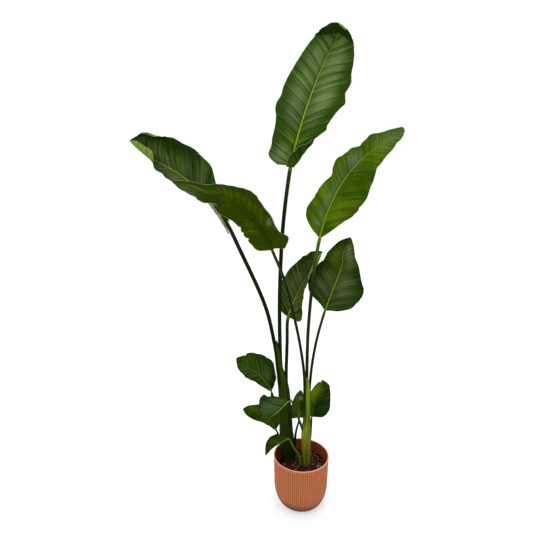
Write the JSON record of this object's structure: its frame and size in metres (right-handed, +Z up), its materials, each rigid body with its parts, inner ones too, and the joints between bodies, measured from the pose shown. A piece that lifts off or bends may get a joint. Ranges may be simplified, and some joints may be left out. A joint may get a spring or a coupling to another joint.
{
  "type": "potted bird of paradise plant",
  "caption": "Tall house plant with broad waved paddle leaves on long stalks in two fans, standing in soil in a finely ribbed round pot.",
  "frame": {"origin": "centre of the pot's underside, on the surface that it stands on", "axes": "+Z up, +X to the right of a viewer in front of the plant, +Y away from that viewer"},
  "size_m": [0.9195, 0.3205, 1.7763],
  "materials": {
    "leaf": "satin leaf, mid to dark green, paler midrib and veins",
    "trunk_dark": "smooth dark green leaf sheaths with olive edges",
    "trunk_light": "smooth yellow-green leaf sheaths, streaked brown near the soil",
    "soil": "dark crumbly potting mix with pale grit",
    "pot": "matt terracotta pink, finely ribbed, with a smooth paler rim"
  },
  "bodies": {
    "root": {"pot": "pot", "soil": "soil", "fan_left": "trunk_dark", "fan_right": "trunk_light", "leaf_top": "leaf", "leaf_far_left": "leaf", "leaf_middle": "leaf", "leaf_arching": "leaf", "leaf_right": "leaf", "leaf_lower_right": "leaf", "small_leaf_upper_left": "leaf", "small_leaf_front": "leaf", "small_leaf_left": "leaf", "small_leaf_low": "leaf", "small_leaf_centre": "leaf", "small_leaf_right": "leaf"}
  },
  "joints": []
}
